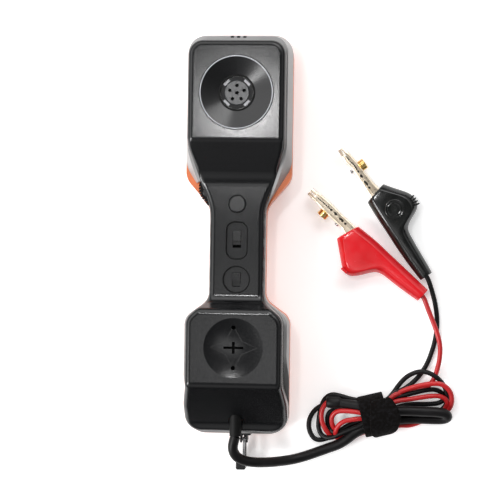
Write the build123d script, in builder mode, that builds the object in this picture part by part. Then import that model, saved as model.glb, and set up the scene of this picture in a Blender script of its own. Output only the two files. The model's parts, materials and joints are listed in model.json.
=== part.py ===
from build123d import *
import os
from math import cos, radians, sin, tan

# Lineman's test handset with a tied hank of test leads and two angled needle-bed clips.
# Millimetres.  +Y runs to the ear end, +Z out of the front, the back rests on Z = 0.
# The origin is under the middle of the handset and its hook.

# ---------------------------------------------------------------- driving dimensions
WALL = 2.2                 # moulded wall of the three shells
GAP = 0.3                  # clearance between pieces that move past each other
EAR_HALF = 35.2            # half width of the ear and mouth blocks at the parting
NECK_HALF = 18.6           # half width of the neck at the parting
EAR_END = 145.4
MOUTH_END = -120.2
FRONT_INSET = 3.2          # how far the black cover stands in from the parting outline
END_INSET = 2.6            # how much further it stands in at the ear end
BACK_DRAFT = 1.6           # how far the orange shell narrows down to its back face
BACK_SEAM = 34.0           # height of the seam between back shell and middle band
RIM_RADIUS = 4.0
BACK_RADIUS = 4.0
EAR_FACE = 62.0
NECK_FACE = 43.5
MOUTH_FACE = 58.0

EAR_DISH_Y = 105.3
EAR_DISH_R = 23.3
CAPSULE_R = 10.65
CAPSULE_SHELF = 57.2
DISH_BASE = 53.5
MOUTH_DISH_Y = -60.9
MOUTH_DISH_R = 19.5

BUTTON_Y = 33.2
BUTTON_R = 5.4
UPPER_POCKET_Y = 9.2
UPPER_KNOB_Y = 12.3
LOWER_POCKET_Y = -16.6
LOWER_KNOB_Y = -14.9
POCKET_FLOOR = 42.0
PAD_BASE = 39.6

BOARD_BASE = 27.0
BOARD_TOP = 28.6

KEYPAD_Y = 103.0
KEY_PITCH_X = 15.0
KEY_PITCH_Y = 12.5
KEY_NAMES = [["3", "2", "1"], ["6", "5", "4"], ["9", "8", "7"], ["hash", "0", "star"]]

DOOR_Y = -82.0
SCREW_PLACES = [(26, 135), (-26, 135), (25, -50), (-25, -50), (26, -109), (-26, -109)]
DOOR_SCREW = (0, -103)
POST_BASE = 10.0

CORD_Z = 33.0              # height of the cord's exit above the back face
CORD_EXIT_Y = -121.0
CORD_D = 6.8
LEAD_D = 3.3

CLIP_MID = 7.0             # height of a clip's middle plane
CLIP_HALF = 7.0            # half thickness of a clip's boot


def write(piece, node):
    piece.part.label = node
    export_step(piece.part, f"parts/{node}.step")


os.makedirs("parts", exist_ok=True)


# ---------------------------------------------------------------- shell outlines
def plan(height, inset, start=30, spread=40, flare=0.0, wall=0.0, pinch=0.1, end=0.0, lift=0.6):
    """Plan outline of the handset, set in from the parting outline.

    The neck starts to widen into the ear block at Y = start and is full after spread.
    flare lets the bottom end run wider than the rest of the mouth block, wall sets the
    whole outline in for a cavity, pinch and lift say how much of the inset the neck and
    the mouth end take, and end sets in the ear end alone.
    """
    block = EAR_HALF - inset - wall
    neck = NECK_HALF - inset * pinch - wall
    top = EAR_END - inset - wall - end
    bottom = MOUTH_END + inset * lift + wall * 0.7
    corner = 13 - inset - wall
    points = [
        (0, top),
        (block, top),
        (block, start + spread),
        (neck, start),
        (neck, -30),
        (block, -42),
        (block, -86),
        (block + flare, -99),
        (block + flare, bottom),
        (0, bottom),
    ]
    radii = [corner, spread * 0.65, spread * 0.75, 10, 10, 20, 20, corner + 1]
    if flare == 0:
        del points[6:8]
        del radii[5:7]
    with BuildSketch(Plane.XY.offset(height)) as sketch:
        with BuildLine():
            FilletPolyline(*points, radius=radii)
            mirror(about=Plane.YZ)
        make_face()
    return sketch.sketch.face()


def region(upper, upper_radii, lower, lower_radii):
    """Side region between an upper line and a lower line, both listed from +Y to -Y."""
    with BuildSketch(Plane.YZ) as sketch:
        with BuildLine():
            top = FilletPolyline(*upper, radius=upper_radii)
            bottom = FilletPolyline(*lower, radius=lower_radii)
            Line(top @ 0, bottom @ 0)
            Line(top @ 1, bottom @ 1)
        make_face()
    return sketch.sketch.face()


def front_line(depth):
    """Front of the black cover in side view, lowered by depth along its normal."""
    corners = [
        (74.4, EAR_FACE, 1),
        (50, NECK_FACE, 1),
        (-30.7, NECK_FACE, -1),
        (-36.2, MOUTH_FACE, -1),
        (-86.1, MOUTH_FACE, 1),
        (-113, 31, 1),
    ]
    inner = [(y + 0.4 * depth * side, z - depth) for y, z, side in corners]
    return [(160, EAR_FACE - depth)] + inner + [(-135, 22 - depth)]


FRONT_RADII = [5, 16, 7, 5, 6, 10]
FRONT_SEAM = [(160, 50), (70, 50), (30, 37), (-25, 37), (-45, 42), (-70, 42), (-100, 20), (-135, 20)]
FRONT_SEAM_RADII = [20, 20, 12, 12, 12, 12]
BACK_SEAM_LINE = [(160, BACK_SEAM), (-74, BACK_SEAM), (-104, 13), (-135, 13)]
BACK_SEAM_RADII = [12, 12]


def back_line(depth):
    """Back of the orange shell in side view, raised by depth."""
    corners = [(60, 0, 1), (44, 9, 1), (-36, 9, -1), (-52, 0, -1)]
    inner = [(y + 0.3 * depth * side, z + depth) for y, z, side in corners]
    return [(160, depth)] + inner + [(-135, depth)]


BACK_RADII = [10, 10, 8, 8]


# ---------------------------------------------------------------- front cover
def rim_edges(solid):
    """Edges where the cover's front surfaces meet its side walls."""
    lids = [
        f for f in solid.faces()
        if f.bounding_box().min.X < -1 and f.bounding_box().max.X > 1 and f.normal_at().Z > 0.05
    ]
    edges = []
    for lid in lids:
        for edge in lid.edges():
            box = edge.bounding_box()
            crosses = box.min.X < -1 and box.max.X > 1
            if not crosses or box.max.Y > EAR_END - FRONT_INSET - END_INSET - 1:
                edges.append(edge)
    return edges


with BuildPart() as front_cover:
    extrude(plan(10, FRONT_INSET, flare=2.4, end=END_INSET), amount=70)
    extrude(
        region(front_line(0), FRONT_RADII, FRONT_SEAM, FRONT_SEAM_RADII),
        amount=60, both=True, mode=Mode.INTERSECT,
    )
    fillet(rim_edges(front_cover.part.solids()[0]), RIM_RADIUS)
    with BuildPart(mode=Mode.PRIVATE) as front_cavity:
        extrude(plan(0, FRONT_INSET, flare=2.4, wall=WALL, end=END_INSET), amount=80)
        extrude(
            region(front_line(WALL), FRONT_RADII, [(160, -5), (-130, -5.01), (-135, -5)], [0]),
            amount=60, both=True, mode=Mode.INTERSECT,
        )
    add(front_cavity.part, mode=Mode.SUBTRACT)

    # thick floors under the two dishes and the three control pockets
    with BuildSketch(Plane.XY.offset(DISH_BASE)):
        with Locations((0, EAR_DISH_Y)):
            Circle(EAR_DISH_R + 2.5)
    extrude(amount=EAR_FACE - WALL / 2 - DISH_BASE)
    with BuildSketch(Plane.XY.offset(DISH_BASE)):
        with Locations((0, MOUTH_DISH_Y)):
            Circle(MOUTH_DISH_R + 1.5)
    extrude(amount=MOUTH_FACE - WALL / 2 - DISH_BASE)
    with BuildSketch(Plane.XY.offset(PAD_BASE)):
        with Locations((0, UPPER_POCKET_Y)):
            RectangleRounded(17.5, 28, 7)
        with Locations((0, LOWER_POCKET_Y)):
            Circle(10.4)
    extrude(amount=NECK_FACE - WALL / 2 - PAD_BASE)

    # conical ear dish, its bore, and the shallow mouth dish
    with BuildSketch(Plane.YZ):
        with BuildLine():
            Polyline(
                (EAR_DISH_Y, EAR_FACE + 1),
                (EAR_DISH_Y + EAR_DISH_R + 1.3, EAR_FACE + 1),
                (EAR_DISH_Y + EAR_DISH_R + 1.3, EAR_FACE),
                (EAR_DISH_Y + EAR_DISH_R + 0.5, EAR_FACE - 0.12),
                (EAR_DISH_Y + EAR_DISH_R, EAR_FACE - 0.4),
                (EAR_DISH_Y + CAPSULE_R + 1.2, CAPSULE_SHELF),
                (EAR_DISH_Y + CAPSULE_R, CAPSULE_SHELF),
                (EAR_DISH_Y + CAPSULE_R, DISH_BASE - 1),
                (EAR_DISH_Y, DISH_BASE - 1),
                close=True,
            )
        make_face()
    revolve(axis=Axis((0, EAR_DISH_Y, 0), (0, 0, 1)), mode=Mode.SUBTRACT)
    with BuildSketch(Plane.YZ):
        with BuildLine():
            ThreePointArc(
                (MOUTH_DISH_Y, MOUTH_FACE - 2.2),
                (MOUTH_DISH_Y + MOUTH_DISH_R * 0.5, MOUTH_FACE - 1.68),
                (MOUTH_DISH_Y + MOUTH_DISH_R, MOUTH_FACE),
            )
            Polyline(
                (MOUTH_DISH_Y + MOUTH_DISH_R, MOUTH_FACE),
                (MOUTH_DISH_Y, MOUTH_FACE + 1),
                (MOUTH_DISH_Y, MOUTH_FACE - 2.2),
            )
        make_face()
    revolve(axis=Axis((0, MOUTH_DISH_Y, 0), (0, 0, 1)), mode=Mode.SUBTRACT)

    # plus-shaped sound slot, two sound holes, and the engraved star round them
    with BuildSketch(Plane.XY.offset(MOUTH_FACE)):
        with Locations((0, MOUTH_DISH_Y)):
            Rectangle(13, 1.6)
            Rectangle(1.8, 7.7)
        with Locations((0, MOUTH_DISH_Y + 13.2), (0, MOUTH_DISH_Y - 13.2)):
            Circle(1.4)
    extrude(amount=-8, mode=Mode.SUBTRACT)
    with BuildSketch(Plane.XY.offset(MOUTH_FACE)):
        for grow, mode in ((0.3, Mode.ADD), (-0.3, Mode.SUBTRACT)):
            star = []
            for quarter in range(4):
                reach = (15.2, 13.8)[quarter % 2]
                star.append((reach + 2 * grow, 90.0 * quarter))
                star.append((6.9 + grow, 90.0 * quarter + (38, 52)[quarter % 2]))
            with BuildLine():
                Polyline(
                    *[
                        (r * cos(radians(a)), MOUTH_DISH_Y + r * sin(radians(a)))
                        for r, a in star
                    ],
                    close=True,
                )
            make_face(mode=mode)
    extrude(amount=-2.4, mode=Mode.SUBTRACT)

    # button bore, control pockets and their slots
    with BuildSketch(Plane.XY.offset(NECK_FACE)):
        with Locations((0, BUTTON_Y)):
            Circle(BUTTON_R + GAP)
    extrude(amount=-8, mode=Mode.SUBTRACT)
    with BuildSketch(Plane.XY.offset(NECK_FACE)):
        with Locations((0, UPPER_POCKET_Y)):
            RectangleRounded(13.7, 24.4, 5.6)
        with Locations((0, LOWER_POCKET_Y)):
            Circle(8.65)
    extrude(amount=POCKET_FLOOR - NECK_FACE, mode=Mode.SUBTRACT)
    with BuildSketch(Plane.XY.offset(NECK_FACE)):
        with Locations((0, UPPER_KNOB_Y - 2.3)):
            RectangleRounded(5.6, 11.3, 0.8)
        with Locations((0, LOWER_KNOB_Y - 1.75)):
            RectangleRounded(5.8, 9.3, 0.8)
    extrude(amount=-8, mode=Mode.SUBTRACT)

    # screw posts
    with BuildSketch(Plane.XY.offset(POST_BASE)):
        with Locations(*SCREW_PLACES[:4]):
            Circle(3.5)
    extrude(amount=46)
    with BuildSketch(Plane.XY.offset(POST_BASE)):
        with Locations(*SCREW_PLACES[4:]):
            Circle(3.5)
    extrude(amount=20)
    with Locations(*[(x, y, POST_BASE) for x, y in SCREW_PLACES]):
        Cylinder(1.45, 14, align=(Align.CENTER, Align.CENTER, Align.MIN), mode=Mode.SUBTRACT)


# ---------------------------------------------------------------- side rocker and its window
ROCKER_Y = 40.0
WALL_TURN = 19.3           # degrees the wall turns out from the neck here
ROCKER_HALF = 8.0
ROCKER_LOW = 34.3
ROCKER_HIGH = 39.7
wall_x = -(NECK_HALF - FRONT_INSET * 0.1) - (ROCKER_Y - 30) * tan(radians(WALL_TURN))
along_wall = (-sin(radians(WALL_TURN)), cos(radians(WALL_TURN)), 0)
rocker_plane = Plane(origin=(wall_x, ROCKER_Y, ROCKER_LOW), x_dir=along_wall, z_dir=(0, 0, 1))
rocker_axis_point = rocker_plane.from_local_coords((0, -1.2, 0))

with BuildPart() as rocker_window:
    with BuildSketch(rocker_plane.offset(-GAP)):
        Rectangle(2 * ROCKER_HALF + 1.2, 14)
    extrude(amount=ROCKER_HIGH - ROCKER_LOW + 2 * GAP)

with BuildPart() as rocker_bay:
    with BuildSketch(rocker_plane.offset(-GAP)):
        Rectangle(2 * ROCKER_HALF + 1.2, 14)
    extrude(amount=24)

with BuildPart() as cord_hole:
    with BuildSketch(Plane.XZ.offset(95)):
        with Locations((0, CORD_Z)):
            Circle(4.8)
    extrude(amount=40)

with front_cover:
    add(rocker_window.part, mode=Mode.SUBTRACT)
    add(cord_hole.part, mode=Mode.SUBTRACT)
    # roof boss for the rocker's pin
    with BuildSketch(Plane.XY.offset(ROCKER_HIGH + GAP)):
        with Locations((rocker_axis_point.X, rocker_axis_point.Y)):
            Circle(2.4)
    extrude(amount=NECK_FACE - WALL / 2 - ROCKER_HIGH - GAP)
    with Locations((rocker_axis_point.X, rocker_axis_point.Y, ROCKER_HIGH)):
        Cylinder(1.0, 2, align=(Align.CENTER, Align.CENTER, Align.MIN), mode=Mode.SUBTRACT)
    # four shallow finger scallops along each edge of the neck
    with Locations(*[(side * 31.0, 22 - 14 * n, 40) for side in (-1, 1) for n in range(4)]):
        Cylinder(13.5, 20, mode=Mode.SUBTRACT)
write(front_cover, "front_cover")

# ---------------------------------------------------------------- middle band
with BuildPart() as mid_band:
    base_inset = BACK_DRAFT * (BACK_SEAM - 8) / (BACK_SEAM + 2)
    loft([plan(8, base_inset, 32, 26, lift=0), plan(BACK_SEAM, 0, 32, 26)], ruled=True)
    loft([plan(BACK_SEAM, 0, 32, 26), plan(52, 2.8)], ruled=True)
    extrude(
        region(FRONT_SEAM, FRONT_SEAM_RADII, BACK_SEAM_LINE, BACK_SEAM_RADII),
        amount=60, both=True, mode=Mode.INTERSECT,
    )
    with BuildPart(mode=Mode.PRIVATE) as band_cavity:
        extrude(plan(0, 0, wall=2 * WALL, end=2.2), amount=70)
    add(band_cavity.part, mode=Mode.SUBTRACT)
    add(rocker_bay.part, mode=Mode.SUBTRACT)
    add(cord_hole.part, mode=Mode.SUBTRACT)
    # room for the two screw posts in the ear end's corners
    with BuildSketch(Plane.XY.offset(BACK_SEAM - GAP)):
        with Locations(*SCREW_PLACES[:2]):
            Circle(3.5 + GAP)
    extrude(amount=20, mode=Mode.SUBTRACT)
    # three small slots in the ear end
    with BuildSketch(Plane.XZ.offset(-EAR_END - 2)):
        with Locations(*[(4.1 * n, 44) for n in (-1, 0, 1)]):
            RectangleRounded(2.4, 6, 1.0)
    extrude(amount=12, mode=Mode.SUBTRACT)
    # room for the rocker's pin and its two bosses
    with BuildSketch(Plane.XY.offset(BACK_SEAM - GAP)):
        with Locations((rocker_axis_point.X, rocker_axis_point.Y)):
            Circle(2.7)
    extrude(amount=12, mode=Mode.SUBTRACT)
write(mid_band, "mid_band")

# ---------------------------------------------------------------- back shell
DOOR_LENGTH = 57.4
DOOR_WIDTH = 35.4
BOARD_POSTS = [(10, -28), (-10, -28), (10, 56), (-10, 56)]


def back_rim(solid):
    """Edges where the back shell's rear surfaces meet its side walls."""
    lids = [
        f for f in solid.faces()
        if f.bounding_box().min.X < -1 and f.bounding_box().max.X > 1 and f.normal_at().Z < -0.05
    ]
    edges = []
    for lid in lids:
        for edge in lid.edges():
            box = edge.bounding_box()
            crosses = box.min.X < -1 and box.max.X > 1
            if not crosses or box.max.Y > EAR_END - 1 or box.min.Y < MOUTH_END + 1:
                edges.append(edge)
    return edges


with BuildPart() as back_shell:
    loft([
        plan(-2, BACK_DRAFT, 31, 19, pinch=0.8, lift=0),
        plan(BACK_SEAM, 0, 31, 19),
    ], ruled=True)
    extrude(
        region(BACK_SEAM_LINE, BACK_SEAM_RADII, back_line(0), BACK_RADII),
        amount=60, both=True, mode=Mode.INTERSECT,
    )
    fillet(back_rim(back_shell.part.solids()[0]), BACK_RADIUS)
    with BuildPart(mode=Mode.PRIVATE) as back_cavity:
        loft([
            plan(-2, BACK_DRAFT, 31, 19, wall=WALL, pinch=0.8, lift=0),
            plan(BACK_SEAM, 0, 31, 19, wall=WALL),
        ], ruled=True)
        extrude(
            region([(160, 60), (-130, 60.01), (-135, 60)], [0], back_line(WALL), BACK_RADII),
            amount=60, both=True, mode=Mode.INTERSECT,
        )
    add(back_cavity.part, mode=Mode.SUBTRACT)

    # shoulder that closes the shell beside the narrower band, above the grip
    with BuildPart(mode=Mode.PRIVATE) as shoulder:
        extrude(plan(BACK_SEAM - 1.9, 0.1, 31, 19), amount=1.9)
        extrude(plan(BACK_SEAM - 3, 0, 32, 26, wall=WALL), amount=5, mode=Mode.SUBTRACT)
        with BuildSketch(Plane.XY.offset(BACK_SEAM)):
            with Locations((0, 50)):
                Rectangle(100, 56)
        extrude(amount=-4, mode=Mode.INTERSECT)
    add(shoulder.part)

    # keypad panel: thick floor, recess from outside, and one hole for each key
    with BuildSketch(Plane.XY.offset(WALL / 2)):
        with Locations((0, KEYPAD_Y)):
            Rectangle(52, 56)
    extrude(amount=5.2 - WALL / 2)
    with BuildSketch(Plane.XY.offset(-1)):
        with Locations((0, KEYPAD_Y)):
            RectangleRounded(47, 51, 4)
    extrude(amount=4, mode=Mode.SUBTRACT)
    with BuildSketch(Plane.XY):
        with Locations((0, KEYPAD_Y)):
            with GridLocations(KEY_PITCH_X, KEY_PITCH_Y, 3, 4):
                RectangleRounded(11.6, 8.1, 1.8)
    extrude(amount=8, mode=Mode.SUBTRACT)

    # battery opening with a ledge for its door
    with BuildSketch(Plane.XY.offset(WALL / 2)):
        with Locations((0, DOOR_Y)):
            Rectangle(62, 40)
    extrude(amount=4 - WALL / 2)
    with BuildSketch(Plane.XY.offset(-1)):
        with Locations((0, DOOR_Y)):
            RectangleRounded(DOOR_LENGTH + 0.6, DOOR_WIDTH + 0.6, 3)
        with Locations(DOOR_SCREW):
            Circle(5.3)
    extrude(amount=3, mode=Mode.SUBTRACT)
    with BuildSketch(Plane.XY):
        with Locations((0, DOOR_Y)):
            Rectangle(54, 32)
    extrude(amount=8, mode=Mode.SUBTRACT)

    # screw bosses, board posts and the lower seat of the rocker's pin
    with BuildSketch(Plane.XY.offset(WALL / 2)):
        with Locations(*SCREW_PLACES):
            Circle(4.5)
    extrude(amount=POST_BASE - WALL / 2)
    with Locations(*[(x, y, 0) for x, y in SCREW_PLACES]):
        Cylinder(3.1, 5, align=(Align.CENTER, Align.CENTER, Align.MIN), mode=Mode.SUBTRACT)
        Cylinder(1.65, 12, align=(Align.CENTER, Align.CENTER, Align.MIN), mode=Mode.SUBTRACT)
    with BuildSketch(Plane.XY.offset(2.0)):
        with Locations(DOOR_SCREW):
            Circle(4.5)
    extrude(amount=10)
    with Locations((DOOR_SCREW[0], DOOR_SCREW[1], 1)):
        Cylinder(1.45, 9, align=(Align.CENTER, Align.CENTER, Align.MIN), mode=Mode.SUBTRACT)
    with BuildSketch(Plane.XY.offset(10)):
        with Locations(*BOARD_POSTS):
            Circle(2.5)
    extrude(amount=BOARD_BASE - 10)
    with BuildSketch(Plane.XY.offset(10)):
        with Locations(*BOARD_POSTS[2:]):
            Circle(2.5)
    extrude(amount=-5.9)
    with BuildSketch(Plane.XY.offset(10)):
        with Locations((rocker_axis_point.X, rocker_axis_point.Y)):
            Circle(2.4)
    extrude(amount=ROCKER_LOW - 10 - GAP)
    with Locations((rocker_axis_point.X, rocker_axis_point.Y, 30)):
        Cylinder(1.0, 6, align=(Align.CENTER, Align.CENTER, Align.MIN), mode=Mode.SUBTRACT)
    add(cord_hole.part, mode=Mode.SUBTRACT)
write(back_shell, "back_shell")

# ---------------------------------------------------------------- receiver and microphone
with BuildPart() as receiver_driver:
    with BuildSketch(Plane.XY.offset(DISH_BASE - 9)):
        with Locations((0, EAR_DISH_Y)):
            Circle(19)
    extrude(amount=9)
    with BuildSketch(Plane.XY.offset(DISH_BASE)):
        with Locations((0, EAR_DISH_Y)):
            Circle(CAPSULE_R - 0.15)
    extrude(amount=1.5)
write(receiver_driver, "receiver_driver")

with BuildPart() as receiver_ring:
    with BuildSketch(Plane.XY.offset(DISH_BASE + 1.5)):
        with Locations((0, EAR_DISH_Y)):
            Circle(CAPSULE_R - 0.15)
            Circle(8.3, mode=Mode.SUBTRACT)
    extrude(amount=1.2)
write(receiver_ring, "receiver_ring")

with BuildPart() as receiver_tabs:
    with BuildSketch(Plane.XY.offset(DISH_BASE + 2.7)):
        with Locations((0, EAR_DISH_Y)):
            with PolarLocations(9.35, 4, start_angle=45):
                Rectangle(1.7, 4.6)
    extrude(amount=0.6)
write(receiver_tabs, "receiver_tabs")

with BuildPart() as receiver_grille:
    with BuildSketch(Plane.XY.offset(DISH_BASE + 1.5)):
        with Locations((0, EAR_DISH_Y)):
            Circle(8.2)
            Circle(1.15, mode=Mode.SUBTRACT)
            with PolarLocations(4.9, 5, start_angle=90):
                Circle(1.15, mode=Mode.SUBTRACT)
    extrude(amount=1.8)
    chamfer(receiver_grille.edges().group_by(Axis.Z)[-1].sort_by(SortBy.RADIUS)[-1], 0.5)
write(receiver_grille, "receiver_grille")

with BuildPart() as mic_gasket:
    with BuildSketch(Plane.XY.offset(DISH_BASE - 2)):
        with Locations((0, MOUTH_DISH_Y)):
            Circle(17)
            Circle(15.1, mode=Mode.SUBTRACT)
    extrude(amount=2)
write(mic_gasket, "mic_gasket")

with BuildPart() as mic_capsule:
    with BuildSketch(Plane.XY.offset(DISH_BASE - 4.5)):
        with Locations((0, MOUTH_DISH_Y)):
            Circle(16.8)
    extrude(amount=2.5)
    with BuildSketch(Plane.XY.offset(DISH_BASE - 10.5)):
        with Locations((0, MOUTH_DISH_Y)):
            Circle(5)
    extrude(amount=6)
write(mic_capsule, "mic_capsule")

# ---------------------------------------------------------------- neck controls
with BuildPart() as mute_button:
    with BuildSketch(Plane.XY.offset(41)):
        with Locations((0, BUTTON_Y)):
            Circle(BUTTON_R)
    extrude(amount=NECK_FACE - 0.1 - 41)
    fillet(mute_button.edges().group_by(Axis.Z)[-1], 0.5)
    with BuildSketch(Plane.XY.offset(39.8)):
        with Locations((0, BUTTON_Y)):
            Circle(6.6)
    extrude(amount=1.2)
    with BuildSketch(Plane.XY.offset(33.9)):
        with Locations((0, BUTTON_Y)):
            Circle(2)
    extrude(amount=5.9)
write(mute_button, "mute_button")

with BuildPart() as mute_switch:
    with BuildSketch(Plane.XY.offset(BOARD_TOP)):
        with Locations((0, BUTTON_Y)):
            RectangleRounded(7, 7, 0.6)
    extrude(amount=4)
write(mute_switch, "mute_switch")


def slide_knob(knob_y, width, length, ribs):
    """Slide knob: ribbed cap, wide plate under the cover, and a blade into the switch."""
    with BuildPart() as knob:
        with BuildSketch(Plane.XY.offset(PAD_BASE - GAP)):
            with Locations((0, knob_y)):
                RectangleRounded(width, length, 0.6)
        extrude(amount=NECK_FACE - 0.4 - PAD_BASE + GAP)
        with BuildSketch(Plane.XY.offset(NECK_FACE - 0.4)):
            with Locations((0, knob_y)):
                with GridLocations(0, length / (ribs + 1), 1, ribs):
                    Rectangle(width, 0.6)
        extrude(amount=-0.7, mode=Mode.SUBTRACT)
        with BuildSketch(Plane.XY.offset(PAD_BASE - GAP)):
            with Locations((0, knob_y)):
                Rectangle(8.6, 12)
        extrude(amount=-1.2)
        with BuildSketch(Plane.XY.offset(31)):
            with Locations((0, knob_y)):
                Rectangle(2, 4)
        extrude(amount=PAD_BASE - GAP - 1.2 - 31)
    return knob


def slide_switch(knob_y, travel):
    """Switch body with a trough in which the knob's blade travels."""
    middle = knob_y - travel / 2
    with BuildPart() as switch:
        with BuildSketch(Plane.XY.offset(BOARD_TOP)):
            with Locations((0, middle)):
                RectangleRounded(8, travel + 9, 0.6)
        extrude(amount=6)
        with BuildSketch(Plane.XY.offset(BOARD_TOP + 6)):
            with Locations((0, middle)):
                Rectangle(2.6, travel + 4.8)
        extrude(amount=-4, mode=Mode.SUBTRACT)
    return switch


UPPER_TRAVEL = 4.4
LOWER_TRAVEL = 3.4
write(slide_knob(UPPER_KNOB_Y, 5.0, 6.5, 3), "upper_slide_knob")
write(slide_switch(UPPER_KNOB_Y, UPPER_TRAVEL), "upper_switch")
write(slide_knob(LOWER_KNOB_Y, 5.2, 5.4, 2), "lower_slide_knob")
write(slide_switch(LOWER_KNOB_Y, LOWER_TRAVEL), "lower_switch")

with BuildPart() as side_rocker:
    with BuildSketch(rocker_plane):
        with BuildLine():
            Polyline((-ROCKER_HALF, 1.0), (-ROCKER_HALF, -2.6), (ROCKER_HALF, -2.6), (ROCKER_HALF, 1.0))
            Spline((ROCKER_HALF, 1.0), (5.5, 2.6), (1.8, 3.6), (-1.2, 3.4), (-4.5, 2.2), (-ROCKER_HALF, 1.0))
        make_face()
        with Locations((0, -1.2)):
            Circle(0.98, mode=Mode.SUBTRACT)
        with Locations(*[(-5.4 + 1.8 * n, 3.5 - 0.36 * abs(n - 3.6) ** 1.5) for n in range(7)]):
            Rectangle(0.7, 1.4, mode=Mode.SUBTRACT)
    extrude(amount=ROCKER_HIGH - ROCKER_LOW)
write(side_rocker, "side_rocker")

with BuildPart() as rocker_pin:
    with Locations((rocker_axis_point.X, rocker_axis_point.Y, 31)):
        Cylinder(0.93, ROCKER_HIGH + 1.5 - 31, align=(Align.CENTER, Align.CENTER, Align.MIN))
write(rocker_pin, "rocker_pin")

with BuildPart() as circuit_board:
    with BuildSketch(Plane.XY.offset(BOARD_BASE)):
        with Locations((0, 14)):
            RectangleRounded(27, 96, 1.5)
    extrude(amount=BOARD_TOP - BOARD_BASE)
write(circuit_board, "circuit_board")

# ---------------------------------------------------------------- keypad
for row, names in enumerate(KEY_NAMES):
    for column, key_name in enumerate(names):
        key_x = (column - 1) * KEY_PITCH_X
        key_y = KEYPAD_Y + (1.5 - row) * KEY_PITCH_Y
        with BuildPart() as key:
            with BuildSketch(Plane.XY.offset(5.4)):
                with Locations((key_x, key_y)):
                    RectangleRounded(12.8, 9.4, 1.8)
            extrude(amount=1)
            with BuildSketch(Plane.XY.offset(5.4)):
                with Locations((key_x, key_y)):
                    RectangleRounded(11, 7.5, 1.6)
            extrude(amount=-4.4)
            fillet(key.edges().group_by(Axis.Z)[0], 0.6)
        write(key, f"key_{key_name}")

with BuildPart() as keypad_mat:
    with BuildSketch(Plane.XY.offset(7.8)):
        with Locations((0, KEYPAD_Y)):
            RectangleRounded(48, 54, 3)
    extrude(amount=1.2)
write(keypad_mat, "keypad_mat")

with BuildPart() as keypad_board:
    with BuildSketch(Plane.XY.offset(9)):
        with Locations((0, KEYPAD_Y)):
            RectangleRounded(50, 56, 3)
    extrude(amount=1.6)
write(keypad_board, "keypad_board")

# ---------------------------------------------------------------- battery, door and screws
with BuildPart() as battery:
    with BuildSketch(Plane.XY.offset(3.8)):
        with Locations((0, DOOR_Y)):
            RectangleRounded(48.5, 26.5, 2)
    extrude(amount=17.5)
    with BuildSketch(Plane.YZ.offset(24.25)):
        with Locations((DOOR_Y - 6.35, 12.5), (DOOR_Y + 6.35, 12.5)):
            Circle(2.9)
    extrude(amount=2.6)
write(battery, "battery")

with BuildPart() as battery_door:
    with BuildSketch(Plane.XY.offset(0.2)):
        with Locations((0, DOOR_Y)):
            RectangleRounded(DOOR_LENGTH, DOOR_WIDTH, 2.7)
        with Locations(DOOR_SCREW):
            Circle(5)
    extrude(amount=1.8)
    with BuildSketch(Plane.XY.offset(2)):
        with Locations((0, DOOR_Y)):
            Rectangle(53.4, 31.4)
    extrude(amount=1.8)
    with Locations((DOOR_SCREW[0], DOOR_SCREW[1], 0)):
        Cylinder(2.8, 1.4, align=(Align.CENTER, Align.CENTER, Align.MIN), mode=Mode.SUBTRACT)
        Cylinder(1.65, 4, align=(Align.CENTER, Align.CENTER, Align.MIN), mode=Mode.SUBTRACT)
write(battery_door, "battery_door")

with BuildPart() as housing_screws:
    with Locations(*[(x, y, 5) for x, y in SCREW_PLACES]):
        Cylinder(2.8, 1.8, align=(Align.CENTER, Align.CENTER, Align.MAX))
        Cylinder(1.4, 16, align=(Align.CENTER, Align.CENTER, Align.MIN))
    with Locations((DOOR_SCREW[0], DOOR_SCREW[1], 1.4)):
        Cylinder(2.5, 1.1, align=(Align.CENTER, Align.CENTER, Align.MAX))
        Cylinder(1.4, 7.6, align=(Align.CENTER, Align.CENTER, Align.MIN))
    with Locations(*[(x, y, 3.2) for x, y in SCREW_PLACES], (DOOR_SCREW[0], DOOR_SCREW[1], 0.3)):
        Box(3.8, 0.9, 1.2, mode=Mode.SUBTRACT)
        Box(0.9, 3.8, 1.2, mode=Mode.SUBTRACT)
write(housing_screws, "housing_screws")

# ---------------------------------------------------------------- belt hook
HOOK_X = 4.1               # middle plane of the hook's arm and gate
HOOK_TIP = -145.4
GATE_PIN = (-125.0, 13.4)  # Y and Z of the gate's pin
hook_plane = Plane.YZ.offset(HOOK_X)

with BuildPart() as belt_hook:
    with BuildSketch(Plane.XZ.offset(-MOUTH_END)):
        with Locations((HOOK_X, 9.9)):
            RectangleRounded(9, 11.6, 2)
    extrude(amount=1.8)
    with BuildSketch(hook_plane):
        with BuildLine():
            FilletPolyline(
                (MOUTH_END - 1.5, 6.6), (MOUTH_END - 1.5, 4.4), (-133, 1.2), (HOOK_TIP, 1.2),
                (HOOK_TIP, 6.6),
                radius=[0.5, 8, 2],
            )
            Line((HOOK_TIP, 6.6), (MOUTH_END - 1.5, 6.6))
        make_face()
    extrude(amount=0.8, both=True)
    with BuildSketch(Plane.XY.offset(1.2)):
        with Locations((2.0, HOOK_TIP + 3.3)):
            RectangleRounded(6.6, 6.6, 1.2)
    extrude(amount=13.8)
    fillet(belt_hook.edges().filter_by_position(Axis.Z, 14.99, 15.01), 0.8)
    for side in (-1, 1):
        with BuildSketch(Plane.YZ.offset(HOOK_X + side * 1.4)):
            with Locations((MOUTH_END - 2.9, 11.2)):
                Rectangle(5.0, 8.4)
            with Locations(GATE_PIN):
                Circle(2.1)
                Circle(0.95, mode=Mode.SUBTRACT)
        extrude(amount=side * 1.1)
write(belt_hook, "belt_hook")

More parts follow.
